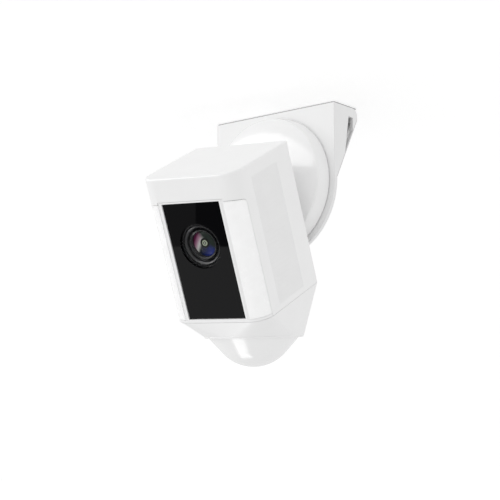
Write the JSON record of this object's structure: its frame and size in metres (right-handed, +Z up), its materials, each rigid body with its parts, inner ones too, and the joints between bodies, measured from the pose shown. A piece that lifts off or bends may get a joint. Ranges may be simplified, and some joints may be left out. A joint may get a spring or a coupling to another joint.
{
  "type": "spotlight security camera",
  "caption": "White ceiling-mounted security camera: wedge bracket, round base with ball joint, box head with dark lens window, light bars at both front corners and a domed motion sensor below.",
  "frame": {"origin": "centre of the wedge bracket's ceiling face, midway between its two screw slots", "axes": "+Z up into the ceiling, -Y the way the round base and the camera head face, +X to the right seen from behind the camera"},
  "size_m": [0.0982, 0.1345, 0.1705],
  "materials": {
    "bracket_white": "fine-textured moulded plastic",
    "base_white": "satin moulded plastic",
    "head_white": "satin moulded plastic",
    "grey_plastic": "matte light grey plastic",
    "black_plastic": "matte black plastic",
    "seal": "closed-cell foam and rubber",
    "terminal": "cream terminal block",
    "lead_insulation": "wire insulation",
    "brass": "plain",
    "steel": "zinc plated",
    "cast_metal": "white powder coat on die casting",
    "bearing": "acetal",
    "window": "smoked polished window",
    "lens_glass": "coated lens glass",
    "board": "solder mask on laminate",
    "chip": "moulded package",
    "component": "moulded components",
    "emitter": "tinted clear resin",
    "diffuser": "opal light diffuser",
    "led": "phosphor package",
    "aluminium": "die-cast, bare",
    "antenna": "flexible printed strip",
    "sensor_lens": "translucent moulded lens"
  },
  "bodies": {
    "root": {"soffit_gasket": "seal", "wedge_housing": "bracket_white", "wedge_back_cover": "grey_plastic", "terminal_block": "terminal", "supply_leads": "lead_insulation", "ground_screw": "brass", "canopy_gasket": "seal", "canopy_cover": "base_white", "socket_base": "cast_metal", "base_screws": "steel"},
    "collar": {"socket_collar": "base_white"},
    "swivel": {"front_bearing_ring": "bearing"},
    "tilt": {"rear_friction_washer": "bearing"},
    "head": {"ball_stud": "cast_metal", "stud_screws": "steel", "neck_gasket": "seal", "head_shell": "head_white", "rear_cover": "head_white", "rear_gasket": "seal", "rear_screws": "steel", "front_bezel": "head_white", "window_glass": "window", "window_gasket": "seal", "lens_mask": "black_plastic", "lens_barrel": "black_plastic", "lens_front": "lens_glass", "lens_rear": "lens_glass", "lens_mount": "black_plastic", "camera_board": "board", "image_sensor": "chip", "ir_board": "board", "ir_emitters": "emitter", "light_sensor": "emitter", "led_bar_left": "diffuser", "led_bar_right": "diffuser", "led_board_left": "board", "led_board_right": "board", "led_chips": "led", "heat_sink": "aluminium", "main_board": "board", "main_chips": "chip", "power_board": "board", "power_components": "component", "head_leads": "lead_insulation", "antenna": "antenna", "speaker": "black_plastic", "siren": "brass", "microphone": "steel", "button_switch": "component", "bottom_cap": "head_white", "pir_dome": "sensor_lens", "pir_board": "board", "pir_sensors": "steel"},
    "button": {"setup_button": "grey_plastic"}
  },
  "joints": [
    {"name": "collar_turn", "type": "hinge", "parent": "root", "child": "collar", "pos_m": [0, -0.0317, -0.0503], "axis": [0, -1, 0], "range_deg": [0, 60]},
    {"name": "head_swivel", "type": "hinge", "parent": "root", "child": "swivel", "pos_m": [0, -0.0317, -0.0503], "axis": [0, 1, 0], "range_deg": [-90, 90]},
    {"name": "head_tilt", "type": "hinge", "parent": "swivel", "child": "tilt", "pos_m": [0, -0.0317, -0.0503], "axis": [0.9903, 0, 0.1392], "range_deg": [-28.7, 1.2]},
    {"name": "head_spin", "type": "hinge", "parent": "tilt", "child": "head", "pos_m": [0, -0.0317, -0.0503], "axis": [-0.0668, 0.8771, 0.4756], "range_deg": [-90, 90]},
    {"name": "button_press", "type": "slide", "parent": "head", "child": "button", "axis": [0.0668, -0.8771, -0.4756], "range_m": [0, 0.0015], "stiffness_N_per_m": 500, "springref_m": -0.0006}
  ]
}
